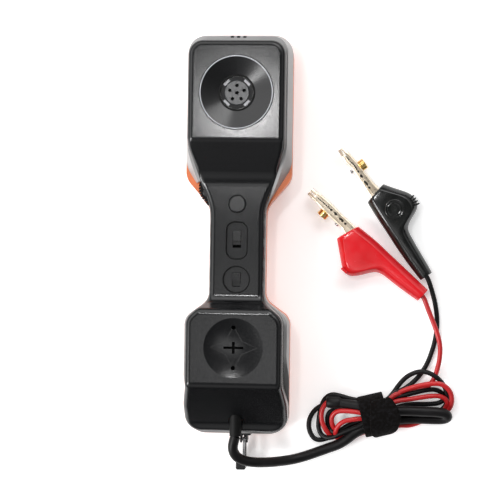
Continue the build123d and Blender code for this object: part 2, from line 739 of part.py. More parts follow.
with BuildPart() as hook_gate:
    with BuildSketch(hook_plane):
        with Locations(GATE_PIN):
            Circle(1.9)
        with Locations(((GATE_PIN[0] + HOOK_TIP + 6.6 + 0.6) / 2, GATE_PIN[1])):
            Rectangle(GATE_PIN[0] - HOOK_TIP - 6.6 - 0.6, 1.8)
        with Locations(GATE_PIN):
            Circle(0.98, mode=Mode.SUBTRACT)
    extrude(amount=0.75, both=True)
write(hook_gate, "hook_gate")

with BuildPart() as hook_pin:
    with BuildSketch(Plane.YZ.offset(HOOK_X - 2.7)):
        with Locations(GATE_PIN):
            Circle(0.93)
    extrude(amount=5.4)
write(hook_pin, "hook_pin")

# ---------------------------------------------------------------- cord exit and cords
with BuildPart() as strain_relief:
    with BuildSketch(Plane.YZ):
        with BuildLine():
            FilletPolyline(
                (-97, CORD_Z), (-97, CORD_Z + 6), (-99, CORD_Z + 6), (-99, CORD_Z + 4.5),
                (CORD_EXIT_Y, CORD_Z + CORD_D / 2 + 0.5), (CORD_EXIT_Y, CORD_Z),
                radius=[0.4, 0.4, 0.4, 0.4],
            )
            Line((CORD_EXIT_Y, CORD_Z), (-97, CORD_Z))
        make_face()
    revolve(axis=Axis((0, 0, CORD_Z), (0, 1, 0)))
write(strain_relief, "strain_relief")


def cord_tube(name, route, diameter):
    """Round cord along straight runs joined by tangent arcs."""
    points = [Vector(*p) for p in route]
    runs = [b - a for a, b in zip(points, points[1:])]
    radii = []
    for before, after in zip(runs, runs[1:]):
        turn = before.get_angle(after)
        radii.append(0.45 * min(before.length, after.length) / tan(radians(turn / 2)))
    print(name, "radii", [round(r, 1) for r in radii], "runs", [round(r.length, 1) for r in runs])
    with BuildPart() as tube:
        with BuildLine():
            path = FilletPolyline(*route, radius=radii)
        with BuildSketch(Plane(origin=points[0], z_dir=runs[0])):
            Circle(diameter / 2)
        sweep(path=path)
    section = 3.14159 * diameter ** 2 / 4
    ratio = tube.part.volume / (section * path.length)
    print(name, "length", round(path.length, 1), "volume over section times length", round(ratio, 4))
    return tube


MAIN_ROUTE = [
    (0, CORD_EXIT_Y, CORD_Z), (-1.5, -129, 32), (0.5, -135.8, 29), (8, -139.4, 25),
    (19, -139.8, 17), (31, -138.9, 8.5), (43, -135.9, 4.2), (54, -131.8, 3.9), (66, -127, 5),
]
BLACK_ROUTE = [
    (119, -84.5, 6), (124.6, -77, 4.5), (128.6, -68.5, 2.6), (131.2, -58.5, 1.8),
    (132.6, -48.5, 1.7), (132.8, -38.5, 1.9), (131.4, -28.5, 3), (129, -19.6, 5.2),
]
RED_ROUTE = [
    (130.5, -85, 7), (133.2, -76.5, 6.5), (135, -68, 7.2), (135, -59.5, 8.4),
    (132.8, -51, 8.6), (129.4, -42.5, 8.5), (125.8, -34.5, 8.2),
]

# ---------------------------------------------------------------- tied hank
HANK_HEIGHT = 13.0
hank_plane = Plane(origin=(96.5, -107, 0), x_dir=(cos(radians(14)), sin(radians(14)), 0))
STRAP_HALF = 9.8
WAIST_HALF = 13.2
WAIST_TOP = 17.4
STRAP_THICK = 1.8

with BuildPart() as cord_hank:
    with BuildSketch():
        with BuildLine():
            FilletPolyline(
                (98, -94), (110, -82.5), (118.5, -76), (128, -76), (138, -81), (145, -89),
                (145.5, -100), (144, -112), (137, -115), (104, -114.5), (87, -121), (73.5, -129),
                (61, -132), (51, -128.5), (44.8, -119.5), (45, -111), (54.5, -99.5),
                (62.5, -92.5), (72, -96.5),
                radius=[3, 8, 8, 8, 8, 8, 8, 4, 8, 8, 8, 8, 6, 6, 6, 4, 4, 5, 5], close=True,
            )
        make_face()
    extrude(amount=HANK_HEIGHT)
    fillet(cord_hank.edges().group_by(Axis.Z)[-1], 3)
    with BuildSketch(hank_plane):
        Rectangle(2 * STRAP_HALF + 0.4, 60)
    extrude(amount=30, mode=Mode.SUBTRACT)
    with BuildSketch(hank_plane.offset(STRAP_THICK)):
        Rectangle(2 * STRAP_HALF + 0.4, 2 * WAIST_HALF)
    extrude(amount=WAIST_TOP - STRAP_THICK)
write(cord_hank, "cord_hank")

with BuildPart() as hank_strap:
    with BuildSketch(hank_plane):
        Rectangle(2 * STRAP_HALF, 2 * (WAIST_HALF + STRAP_THICK))
    extrude(amount=WAIST_TOP + STRAP_THICK)
    with BuildSketch(hank_plane.offset(STRAP_THICK)):
        Rectangle(2 * STRAP_HALF, 2 * WAIST_HALF)
    extrude(amount=WAIST_TOP - STRAP_THICK, mode=Mode.SUBTRACT)
write(hank_strap, "hank_strap")

# ---------------------------------------------------------------- clips
# In a clip's own plane x runs from the boot's mouth towards the handle, y from the boot's
# straight side towards its bulge, and both halves are symmetric about the plane.
CLIP_END = 63.2
PIVOT = (9.0, 8.6)
HUB_R = 4.4
JAW_TIP = (-40.3, 4.6)
JAW_HALF_HEIGHT = 3.0
LEAD_Y = 4.9
BOOT_WALL = 1.6


def clip_plane(corner, turn, up):
    return Plane(
        origin=(corner[0], corner[1], CLIP_MID),
        x_dir=(cos(radians(turn)), sin(radians(turn)), 0),
        z_dir=(0, 0, up),
    )


def boot_outline(inset):
    """Plan of the soft boot: slanted mouth, bulge over the thumb lever, waist and handle."""
    points = [
        (0 + 0.2 * inset, inset), (CLIP_END - inset, inset), (CLIP_END - inset, 9.8 - inset),
        (28, 14.2 - inset), (23.4 - inset, 24), (21 - inset, 28.3 - inset),
        (11 + 0.4 * inset, 28 - inset), (-3.6 + inset * 0.5, 16.6 - inset * 0.6),
    ]
    return points, [2, 1.5, 1.5, 7, 6, 2.5, 5, 2]


def build_clip(colour, plane, screw):
    """The seven pieces of one clip; screw is its wire screw's X and its offset from the jaws' axis."""
    with BuildPart() as boot:
        outer, radii = boot_outline(0)
        with BuildSketch(plane.offset(-CLIP_HALF)):
            with BuildLine():
                FilletPolyline(*outer, radius=radii, close=True)
            make_face()
        extrude(amount=2 * CLIP_HALF)
        inner, radii = boot_outline(BOOT_WALL)
        with BuildSketch(plane.offset(-CLIP_HALF + BOOT_WALL)):
            with BuildLine():
                FilletPolyline(*inner, radius=[r * 0.6 for r in radii], close=True)
            make_face()
        extrude(amount=2 * (CLIP_HALF - BOOT_WALL), mode=Mode.SUBTRACT)
        # open mouth
        with BuildSketch(plane.offset(-CLIP_HALF + BOOT_WALL)):
            with BuildLine():
                Polyline((-8, 3.0), (4, BOOT_WALL), (4, 17.5), (-8, 15.2), close=True)
            make_face()
        extrude(amount=2 * (CLIP_HALF - BOOT_WALL), mode=Mode.SUBTRACT)
        # raised thumb ribs on the bulge
        with BuildSketch(plane.offset(-CLIP_HALF + 2)):
            with Locations(*[(12.6 + 2.0 * n, 28.3) for n in range(4)]):
                Rectangle(1.0, 1.2)
        extrude(amount=2 * CLIP_HALF - 4)
    write(boot, f"{colour}_boot")

    lean = (PIVOT[1] - JAW_TIP[1]) / (PIVOT[0] - JAW_TIP[0])

    def on_axis(x, offset):
        return (x, PIVOT[1] + (x - PIVOT[0]) * lean + offset)

    with BuildPart() as fixed_jaw:
        with BuildSketch(plane):
            with BuildLine():
                Polyline(
                    on_axis(JAW_TIP[0], -0.2), on_axis(-1.0, -0.2), on_axis(1.5, -3.8),
                    on_axis(-8, -3.5), on_axis(-22, -2.9), on_axis(-30, -3.1), on_axis(JAW_TIP[0], -2.0),
                    close=True,
                )
            make_face()
        extrude(amount=JAW_HALF_HEIGHT, both=True)
        # fork plates round the pivot, joined by a web to the handle tube
        for side in (-1, 1):
            with BuildSketch(plane.offset(side * JAW_HALF_HEIGHT)):
                with BuildLine():
                    Polyline(
                        on_axis(-10, -0.6), on_axis(-1, 0.5), (5, 13.5), (13, 13.5), (19, 8.6),
                        (19, 2.4), (2, 2.6), on_axis(-10, -3.6),
                        close=True,
                    )
                make_face()
            extrude(amount=side * 1.4)
        with BuildSketch(plane):
            with BuildLine():
                Polyline((15, 2.0), (20, 2.0), (20, 8.8), (15, 4.6), close=True)
            make_face()
        extrude(amount=JAW_HALF_HEIGHT + 1.4, both=True)
        with BuildSketch(Plane(
            origin=plane.from_local_coords((19, LEAD_Y, 0)), z_dir=plane.x_dir,
        )):
            Circle(3)
        extrude(amount=CLIP_END - 19 - BOOT_WALL - 1.5)
        with BuildSketch(plane.offset(-6)):
            with Locations(PIVOT):
                Circle(1.3)
        extrude(amount=12, mode=Mode.SUBTRACT)
        # teeth in the free part of the jaw
        with BuildSketch(plane.offset(-6)):
            with Locations(*[on_axis(JAW_TIP[0] + 3 + 1.8 * n, -0.2) for n in range(7)]):
                RegularPolygon(0.7, 4)
        extrude(amount=12, mode=Mode.SUBTRACT)
    write(fixed_jaw, f"{colour}_fixed_jaw")

    with BuildPart() as moving_jaw:
        with BuildSketch(plane):
            with BuildLine():
                Polyline(
                    on_axis(JAW_TIP[0], 0.2), on_axis(1.0, 0.2), PIVOT, on_axis(4.0, 3.6),
                    on_axis(-8, 3.2), on_axis(-26, 3.0), on_axis(JAW_TIP[0], 2.2),
                    close=True,
                )
            make_face()
            with Locations(PIVOT):
                Circle(HUB_R)
            with BuildLine():
                Polyline(
                    (PIVOT[0] - 2.4, PIVOT[1] + 2), (8.6, 21.6), (16.8, 24.2), (17.4, 21.6),
                    (11.2, 19.6), (PIVOT[0] + 2.4, PIVOT[1] + 2),
                    close=True,
                )
            make_face()
        extrude(amount=JAW_HALF_HEIGHT - 0.2, both=True)
        with BuildSketch(plane.offset(-6)):
            with Locations(PIVOT):
                Circle(1.33)
        extrude(amount=12, mode=Mode.SUBTRACT)
        # pocket for the spring round the pin
        with BuildSketch(plane):
            with Locations(PIVOT):
                Circle(3.6)
        extrude(amount=1.8, both=True, mode=Mode.SUBTRACT)
        # seat for the needle bed
        with BuildSketch(plane):
            with Locations(on_axis(-23, 2.9)):
                Rectangle(6.4, 1.6, rotation=4.6)
        extrude(amount=2.4, both=True)
        with BuildSketch(plane.offset(-6)):
            with Locations(*[on_axis(JAW_TIP[0] + 3.9 + 1.8 * n, 0.2) for n in range(7)]):
                RegularPolygon(0.7, 4)
        extrude(amount=12, mode=Mode.SUBTRACT)
    write(moving_jaw, f"{colour}_moving_jaw")

    with BuildPart() as jaw_pin:
        with BuildSketch(plane.offset(-JAW_HALF_HEIGHT - 1.9)):
            with Locations(PIVOT):
                Circle(1.27)
        extrude(amount=2 * JAW_HALF_HEIGHT + 3.8)
    write(jaw_pin, f"{colour}_jaw_pin")

    with BuildPart() as jaw_spring:
        with BuildSketch(plane):
            with Locations(PIVOT):
                Circle(3.2)
                Circle(1.7, mode=Mode.SUBTRACT)
        extrude(amount=1.6, both=True)
    write(jaw_spring, f"{colour}_jaw_spring")

    # brass needle bed standing off the moving jaw, its axis across the jaw
    bed_base = plane.from_local_coords((*on_axis(-23, 3.72), 0))
    bed_axis = (plane.y_dir - plane.x_dir * lean).normalized()
    with BuildPart() as needle_bed:
        with BuildSketch(Plane(origin=bed_base, z_dir=bed_axis)):
            Circle(3.6)
        extrude(amount=0.7)
        with BuildSketch(Plane(origin=bed_base + bed_axis * 0.7, z_dir=bed_axis)):
            Circle(3.3)
        extrude(amount=0.4)
        with BuildSketch(Plane(origin=bed_base + bed_axis * 1.1, z_dir=bed_axis)):
            Circle(3.75)
        extrude(amount=2.9)
        chamfer(needle_bed.faces().sort_by(Axis(bed_base, bed_axis))[-1].edges(), 0.3)
    write(needle_bed, f"{colour}_needle_bed")

    # wire screw through the side of one jaw
    screw_base = plane.from_local_coords((*on_axis(*screw), 0))
    screw_out = bed_axis if screw[1] > 0 else -bed_axis
    with BuildPart() as wire_screw:
        with BuildSketch(Plane(origin=screw_base, z_dir=screw_out)):
            Circle(1.4)
        extrude(amount=1.5)
        with BuildSketch(Plane(origin=screw_base + screw_out * 1.5, z_dir=screw_out)):
            Rectangle(4, 0.6)
        extrude(amount=-0.6, mode=Mode.SUBTRACT)
    write(wire_screw, f"{colour}_wire_screw")


black_plane = clip_plane((85.2, 36.2), -55.2, 1)
red_plane = clip_plane((79.2, 20.1), -41.7, -1)
build_clip("black", black_plane, (-23.5, -3.0))
build_clip("red", red_plane, (-11.8, 3.22))

black_end = black_plane.from_local_coords((CLIP_END, LEAD_Y, 0))
red_end = red_plane.from_local_coords((CLIP_END, LEAD_Y, 0))
black_out = black_plane.from_local_coords((CLIP_END + 5.5, LEAD_Y, 0))
red_out = red_plane.from_local_coords((CLIP_END + 5.0, LEAD_Y, 0))
print("black lead leaves its boot at", black_end, "towards", black_out)
print("red lead leaves its boot at", red_end, "towards", red_out)
write(cord_tube("main_cord", MAIN_ROUTE, CORD_D), "main_cord")
write(cord_tube("black_lead", BLACK_ROUTE + [tuple(black_end)], LEAD_D), "black_lead")
write(cord_tube("red_lead", RED_ROUTE + [tuple(red_end)], LEAD_D), "red_lead")
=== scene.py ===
import bmesh
import bpy
import math
from mathutils import Matrix, Vector
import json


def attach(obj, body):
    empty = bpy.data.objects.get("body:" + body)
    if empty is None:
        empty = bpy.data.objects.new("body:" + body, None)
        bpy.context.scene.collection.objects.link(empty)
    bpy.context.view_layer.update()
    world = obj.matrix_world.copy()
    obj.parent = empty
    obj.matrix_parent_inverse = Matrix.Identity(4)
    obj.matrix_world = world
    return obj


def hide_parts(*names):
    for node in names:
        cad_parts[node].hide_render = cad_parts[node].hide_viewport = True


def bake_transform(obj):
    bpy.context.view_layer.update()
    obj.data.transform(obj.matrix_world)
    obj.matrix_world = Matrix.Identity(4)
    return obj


# A telephone line test handset on a white table: black front, grey band and orange back,
# a tied hank of cord and leads, and two booted needle-bed clips.

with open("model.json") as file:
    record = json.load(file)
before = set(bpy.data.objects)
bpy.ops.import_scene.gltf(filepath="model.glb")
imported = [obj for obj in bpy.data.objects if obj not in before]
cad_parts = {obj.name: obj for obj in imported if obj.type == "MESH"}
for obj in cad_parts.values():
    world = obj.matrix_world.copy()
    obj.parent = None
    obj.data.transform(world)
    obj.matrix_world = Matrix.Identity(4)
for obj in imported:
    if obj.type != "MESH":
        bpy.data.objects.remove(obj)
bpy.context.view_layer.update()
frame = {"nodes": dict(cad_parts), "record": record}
nodes = frame["nodes"]
MM = 0.001


def mm(x, y, z):
    return Vector((x * MM, y * MM, z * MM))


# ---------------------------------------------------------------- materials
class Shader:
    """A Principled material with its nodes in reach."""

    def __init__(self, name, colour, roughness, metallic=0.0):
        self.material = bpy.data.materials.new(name)
        self.material.use_nodes = True
        self.tree = self.material.node_tree
        self.shader = self.tree.nodes["Principled BSDF"]
        self.coordinates = self.tree.nodes.new("ShaderNodeTexCoord")
        self.colour = colour
        self.bump = None
        self.set("Base Color", (*colour, 1))
        self.set("Roughness", roughness)
        self.set("Metallic", metallic)

    def set(self, socket, value):
        self.shader.inputs[socket].default_value = value

    def link(self, out, into):
        self.tree.links.new(out, into)

    def texture(self, kind, scale):
        node = self.tree.nodes.new(kind)
        node.inputs["Scale"].default_value = scale
        self.link(self.coordinates.outputs["Object"], node.inputs["Vector"])
        return node

    def noise(self, scale, detail):
        node = self.texture("ShaderNodeTexNoise", scale)
        node.inputs["Detail"].default_value = detail
        return node.outputs["Fac"]

    def cells(self, scale):
        return self.texture("ShaderNodeTexVoronoi", scale).outputs["Distance"]

    def spread(self, value, low, high, start=0.3, end=0.7):
        """A value from start to end spread over low to high."""
        node = self.tree.nodes.new("ShaderNodeMapRange")
        node.inputs["From Min"].default_value = start
        node.inputs["From Max"].default_value = end
        node.inputs["To Min"].default_value = low
        node.inputs["To Max"].default_value = high
        self.link(value, node.inputs["Value"])
        return node.outputs["Result"]

    def tint(self, value, other, start, end):
        """Mixes the base colour towards another where the value is high."""
        node = self.tree.nodes.new("ShaderNodeMix")
        node.data_type = "RGBA"
        node.inputs["A"].default_value = (*self.colour, 1)
        node.inputs["B"].default_value = (*other, 1)
        self.link(self.spread(value, 0.0, 1.0, start, end), node.inputs["Factor"])
        self.link(node.outputs["Result"], self.shader.inputs["Base Color"])

    def rough(self, value, low, high):
        self.link(self.spread(value, low, high), self.shader.inputs["Roughness"])

    def relief(self, value, strength, distance):
        """Adds a bump on top of the bumps that are already there."""
        node = self.tree.nodes.new("ShaderNodeBump")
        node.inputs["Strength"].default_value = strength
        node.inputs["Distance"].default_value = distance
        self.link(value, node.inputs["Height"])
        if self.bump:
            self.link(self.bump, node.inputs["Normal"])
        self.bump = node.outputs["Normal"]
        self.link(self.bump, self.shader.inputs["Normal"])


def moulded(name, colour, roughness, grain=1500, depth=0.00006, shade=0.82,
            specular=0.5, sparkle=0.04):
    """Injection-moulded plastic: slight cloudiness, uneven gloss and a fine spark-eroded grain."""
    s = Shader(name, colour, roughness)
    s.set("Specular IOR Level", specular)
    s.tint(s.noise(45, 4), tuple(c * shade for c in colour), 0.4, 0.7)
    s.rough(s.noise(1300, 2), roughness - sparkle, roughness + sparkle)
    s.relief(s.noise(grain, 3), 0.35, depth)
    return s


def vinyl(name, colour, roughness, mark):
    """Soft dipped vinyl: smooth, with faint flow marks and a scuffed sheen."""
    s = Shader(name, colour, roughness)
    s.tint(s.noise(38, 3), mark, 0.42, 0.8)
    s.rough(s.noise(160, 4), roughness - 0.06, roughness + 0.1)
    s.relief(s.noise(90, 3), 0.25, 0.0003)
    s.relief(s.noise(1400, 2), 0.18, 0.00005)
    return s


def metal(name, colour, roughness, mark):
    """Plated or turned metal with wear and small tarnish."""
    s = Shader(name, colour, roughness, 1.0)
    s.tint(s.noise(150, 3), mark, 0.5, 0.9)
    s.rough(s.noise(500, 3), roughness - 0.05, roughness + 0.09)
    s.relief(s.noise(1200, 2), 0.1, 0.00002)
    return s


cover_black = moulded("cover_black", (0.0036, 0.0038, 0.0044), 0.21, 3200, 0.000025, 0.8, sparkle=0.05)
# light grey on the black cover: a painted highlight along the ear dish's rim bead
rim_painted_highlight = moulded("rim_painted_highlight", (0.42, 0.43, 0.46), 0.22, 3200, 0.00002, 0.9)
band_grey = moulded("band_grey", (0.33, 0.325, 0.325), 0.40)
shell_orange = moulded("shell_orange", (0.66, 0.15, 0.035), 0.38)
grille_grey = moulded("grille_grey", (0.028, 0.029, 0.031), 0.34, 2200)
ring_black = moulded("ring_black", (0.004, 0.004, 0.0045), 0.5, 2600, 0.00003, specular=0.25)
control_black = moulded("control_black", (0.006, 0.006, 0.0065), 0.32, 2200, 0.00004)
rubber = moulded("rubber", (0.003, 0.003, 0.003), 0.55, 1700, specular=0.15)
# near-black and matte: the dark inner parts seen through holes, and painted shade in the slot boxes
# and the rings round the pockets
dark_parts_and_painted_shade = moulded("dark_parts_and_painted_shade", (0.004, 0.004, 0.004), 0.75, 1700, specular=0.2)
hook_black = moulded("hook_black", (0.008, 0.008, 0.009), 0.3, 1800)
key_grey = moulded("key_grey", (0.55, 0.55, 0.56), 0.4)
battery_case = moulded("battery_case", (0.04, 0.04, 0.05), 0.35)
board_green = moulded("board_green", (0.02, 0.13, 0.05), 0.3, 900)
steel = metal("steel", (0.50, 0.50, 0.51), 0.3, (0.36, 0.36, 0.37))
tab_steel = metal("tab_steel", (0.22, 0.22, 0.23), 0.4, (0.15, 0.15, 0.155))
jaw_plated = metal("jaw_plated", (0.66, 0.57, 0.45), 0.30, (0.44, 0.34, 0.23))
# dark metal for the strip between the jaws: painted shade
jaw_painted_shade = metal("jaw_painted_shade", (0.05, 0.045, 0.04), 0.5, (0.03, 0.028, 0.025))
brass = metal("brass", (0.84, 0.60, 0.24), 0.2, (0.66, 0.42, 0.14))
lead_black = vinyl("lead_black", (0.003, 0.0026, 0.003), 0.42, (0.005, 0.0045, 0.005))
lead_black.set("Specular IOR Level", 0.22)
lead_red = vinyl("lead_red", (0.46, 0.010, 0.012), 0.34, (0.34, 0.006, 0.008))
boot_black = vinyl("boot_black", (0.004, 0.0045, 0.0042), 0.16, (0.007, 0.0072, 0.0068))
boot_red = vinyl("boot_red", (0.66, 0.011, 0.018), 0.18, (0.52, 0.007, 0.010))

strap_black = Shader("strap_black", (0.0028, 0.0022, 0.0020), 0.95)
strap_black.tint(strap_black.noise(500, 4), (0.009, 0.0085, 0.0095), 0.45, 0.75)
strap_black.relief(strap_black.noise(1500, 4), 0.9, 0.0005)
strap_black.relief(strap_black.cells(900), 0.5, 0.0003)
strap_black.set("Specular IOR Level", 0.08)
strap_black.set("Sheen Weight", 0.015)
strap_black.set("Sheen Roughness", 0.5)

floor_white = Shader("floor_white", (0.95, 0.95, 0.95), 0.85)
floor_white.set("Emission Color", (1, 1, 1, 1))
floor_white.set("Emission Strength", 0.30)
floor_white.relief(floor_white.noise(400, 3), 0.05, 0.0001)

FINISHES = {
    "cover_black": cover_black, "band_grey": band_grey, "shell_orange": shell_orange,
    "grille_grey": grille_grey, "control_black": control_black, "rubber": rubber,
    "steel": steel, "board_green": board_green, "battery_case": battery_case,
    "key_grey": key_grey, "lead_black": lead_black, "lead_red": lead_red,
    "strap_black": strap_black, "boot_black": boot_black, "boot_red": boot_red,
    "jaw_plated": jaw_plated, "brass": brass,
}
NODE_FINISHES = {
    "receiver_ring": ring_black, "receiver_tabs": tab_steel, "belt_hook": hook_black,
    "receiver_driver": dark_parts_and_painted_shade, "mic_capsule": dark_parts_and_painted_shade, "mic_gasket": dark_parts_and_painted_shade,
    "upper_switch": dark_parts_and_painted_shade, "lower_switch": dark_parts_and_painted_shade, "mute_switch": dark_parts_and_painted_shade,
}


def cover(obj, shader):
    obj.data.materials.clear()
    obj.data.materials.append(shader.material)


def finish_frame():
    """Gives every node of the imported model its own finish."""
    for part in frame["record"]["subparts"]:
        name = part["node"]
        shader = NODE_FINISHES.get(name, FINISHES[part["material_slot"]])
        for place in nodes[name].material_slots:
            place.material = shader.material


# ---------------------------------------------------------------- mesh helpers
SHARP_ANGLE = math.radians(34)


def band(a, b, size):
    """Faces between two closed rows of points, which start at a and at b."""
    return [(a + k, a + (k + 1) % size, b + (k + 1) % size, b + k) for k in range(size)]


def circle(count):
    return [(math.cos(k / count * math.tau), math.sin(k / count * math.tau)) for k in range(count)]


def mesh_object(name, points, faces, shader, smooth=True):
    data = bpy.data.meshes.new(name)
    data.from_pydata([tuple(p) for p in points], [], faces)
    data.update()
    work = bmesh.new()
    work.from_mesh(data)
    bmesh.ops.recalc_face_normals(work, faces=work.faces)
    work.to_mesh(data)
    work.free()
    obj = bpy.data.objects.new(name, data)
    bpy.context.scene.collection.objects.link(obj)
    for face in data.polygons:
        face.use_smooth = smooth
    cover(obj, shader)
    return obj


def subdivide(obj, levels):
    modifier = obj.modifiers.new("subdivision", "SUBSURF")
    modifier.levels = levels
    modifier.render_levels = levels
    return obj


def apply_modifiers(obj):
    graph = bpy.context.evaluated_depsgraph_get()
    data = bpy.data.meshes.new_from_object(obj.evaluated_get(graph))
    obj.modifiers.clear()
    obj.data = data
    return obj


def join(name, pieces):
    """One object out of several, in their own places."""
    work = bmesh.new()
    materials = []
    for piece in pieces:
        shader = piece.data.materials[0]
        if shader not in materials:
            materials.append(shader)
        start = len(work.faces)
        work.from_mesh(piece.data)
        work.faces.ensure_lookup_table()
        for face in work.faces[start:]:
            face.material_index = materials.index(shader)
            face.smooth = True
    data = bpy.data.meshes.new(name)
    work.to_mesh(data)
    work.free()
    for material in materials:
        data.materials.append(material)
    for piece in pieces:
        bpy.data.objects.remove(piece)
    obj = bpy.data.objects.new(name, data)
    bpy.context.scene.collection.objects.link(obj)
    return obj


# ---------------------------------------------------------------- cords
def cord_line(name, points, diameter, shader):
    """A smooth cord on one open NURBS spline."""
    curve = bpy.data.curves.new(name, "CURVE")
    curve.dimensions = "3D"
    spline = curve.splines.new("NURBS")
    spline.points.add(len(points) - 1)
    for point, place in zip(spline.points, points):
        point.co = (*mm(*place), 1)
    spline.order_u = 3
    spline.use_endpoint_u = True
    spline.resolution_u = 10
    curve.bevel_depth = diameter / 2 * MM
    curve.bevel_resolution = 5
    curve.use_fill_caps = True
    obj = bpy.data.objects.new(name, curve)
    bpy.context.scene.collection.objects.link(obj)
    cover(obj, shader)
    return obj


MAIN_PATH = [
    (0, -121, 33), (-1.7, -126, 32.6), (-1.6, -131.6, 31), (2, -136.6, 28.2), (11, -139.2, 24),
    (23, -139.8, 14.5), (34.7, -138.9, 6.8), (42.5, -137.2, 4), (52, -133.8, 3.8),
    (60, -130.6, 4.4), (67, -128, 5.6), (72.8, -124.4, 6.8), (78.5, -119.4, 7.4), (87, -115.2, 7),
    (98, -112, 6), (109, -109.8, 4.6), (122, -109.2, 3.6), (132, -109.5, 3.6), (138.2, -109.2, 4),
    (141, -107.6, 6), (139.2, -104.8, 8.4), (133, -103.9, 9.6), (124, -103.8, 10),
    (112, -103.4, 10.6), (106, -103.9, 11.4), (98, -104, 12), (85, -101.4, 12), (75, -100, 10.5),
    (66, -99, 9),
]
BLACK_PATH = [
    (61, -99.5, 8), (55, -101.5, 6), (49.5, -106.5, 3), (46.8, -113, 1.8), (47.5, -120, 1.8),
    (52, -126, 1.8), (61, -124, 1.8), (71, -117.5, 1.8), (82, -111.5, 2.5), (87.2, -110.9, 3.6),
    (105.5, -101.7, 4), (116, -99.5, 1.8), (128, -99.5, 1.8), (136, -98.5, 1.8), (139, -94.5, 2),
    (136, -90.5, 3), (130, -88.8, 4.5), (119, -91.2, 7), (103.9, -95.4, 9), (85.3, -103.6, 5),
    (76, -103, 5), (66, -103.5, 5), (60.5, -106, 4.5), (59.3, -112, 3.5), (61.5, -118, 3.2),
    (66, -120.5, 5), (74, -114, 5.5), (86.9, -109.9, 7), (103.4, -93.4, 5), (108, -86, 4),
    (114, -79.8, 4.5), (122.5, -76.6, 5.5), (131, -79, 6), (137.5, -85, 5.5), (140.3, -92, 4),
    (140.3, -99, 2.2), (136, -104, 1.8), (126, -105, 1.8), (114, -104.5, 2), (106.6, -106.1, 3.6),
    (83.9, -97.8, 7), (75, -96.5, 8), (68, -94.3, 8), (62, -93.6, 7.5), (57.5, -97, 6.5),
    (55.3, -103, 5), (53.9, -110, 4), (53.6, -117, 3.2), (56, -122.5, 3), (62, -124, 5.2),
    (71, -119, 8), (87.5, -112.3, 11), (103.2, -92.5, 9), (109, -90.5, 6.5), (115.5, -86.5, 3.5),
    (121.5, -80.5, 1.9), (126.3, -73, 1.8), (130, -63, 1.8), (132.4, -53, 1.7), (133, -43, 1.9),
    (131.8, -33, 2.6), (129.3, -23.5, 4.8), (127, -16.5, 6.6), (125.3, -12.9, 7),
    (120.7, -6.3, 7),
]
RED_PATH = [
    (61, -98, 9.5), (57.5, -101, 9), (55.8, -106, 8), (56, -112, 7), (58.6, -118, 6),
    (62, -122, 2.5), (70, -124.5, 1.8), (80.5, -121, 1.8), (88.9, -117.6, 3.6),
    (108.5, -113.8, 3.6), (116, -114.3, 2), (126, -110, 1.8), (134, -106, 1.8), (140, -101, 2.5),
    (140.5, -96.5, 4.5), (136, -93.3, 6), (128.5, -93.4, 8), (116, -95.6, 10), (104.4, -97.3, 12),
    (85.9, -105.9, 13), (80, -104.8, 13), (73, -104.3, 12.5), (66.5, -104.5, 11.5), (63, -108, 10),
    (62.8, -113, 8), (65, -118, 5.5), (72, -118, 2.2), (80, -114, 2.5), (87.6, -112.8, 3.6),
    (103.8, -94.9, 6.5), (110, -90.2, 9), (119, -87, 9.5), (129, -84.8, 9.5), (137, -85, 9),
    (142.5, -90, 7.5), (143.8, -97, 5.5), (142, -102.5, 3), (136, -107, 1.8), (122, -107.5, 1.8),
    (112, -108, 2.5), (107.2, -108.5, 3.6), (86.6, -108.7, 11), (78, -109.8, 12), (71.5, -111, 11.5),
    (67.2, -114.5, 10), (65.2, -119.5, 7.5), (66, -122.5, 3.5), (72, -122.8, 2), (82, -117.5, 2.2),
    (88.3, -115.2, 3.6), (103.2, -92.6, 12), (111, -92.3, 6), (120, -90.5, 4.5), (127, -87.8, 4),
    (131, -83, 4.2), (133.2, -76.5, 5.2), (135, -68, 6), (135.2, -59.5, 6), (133, -51, 5.9),
    (129.6, -42.5, 6.2), (126.3, -34.5, 6.8), (123.1, -25.6, 7),
    (117.2, -20.3, 7),
]


# ---------------------------------------------------------------- strap round the hank
STRAP_AT = (96.5, -107.0)
STRAP_TURN = math.radians(14)
STRAP_THICKNESS = 1.2
STRAP_RIPPLE = 0.35


def hank_place(u, v, z):
    """u along the hank, v across it, as a place on the table."""
    c = math.cos(STRAP_TURN)
    s = math.sin(STRAP_TURN)
    return mm(STRAP_AT[0] + u * c - v * s, STRAP_AT[1] + u * s + v * c, z)


def ribbon(name, stations, closed):
    """Webbing through stations of middle u, half width, v, z and how far one edge is lifted."""
    count = len(stations)
    columns = 7
    points = []
    for i, (u, half, v, z, lift) in enumerate(stations):
        for k in range(columns):
            t = k / (columns - 1) * 2 - 1
            wave = STRAP_RIPPLE * math.sin(2.3 * i + 3.1 * t)
            points.append(hank_place(u + t * half, v, z + lift * t + wave * (1 - abs(t)) * 0.5))
    faces = []
    rows = count if closed else count - 1
    for i in range(rows):
        a = i * columns
        b = (i + 1) % count * columns
        for k in range(columns - 1):
            faces.append((a + k, a + k + 1, b + k + 1, b + k))
    obj = mesh_object(name, points, faces, strap_black)
    subdivide(obj, 1)
    solid = obj.modifiers.new("thickness", "SOLIDIFY")
    solid.thickness = STRAP_THICKNESS * MM
    solid.offset = 0
    subdivide(obj, 1)
    return apply_modifiers(obj)


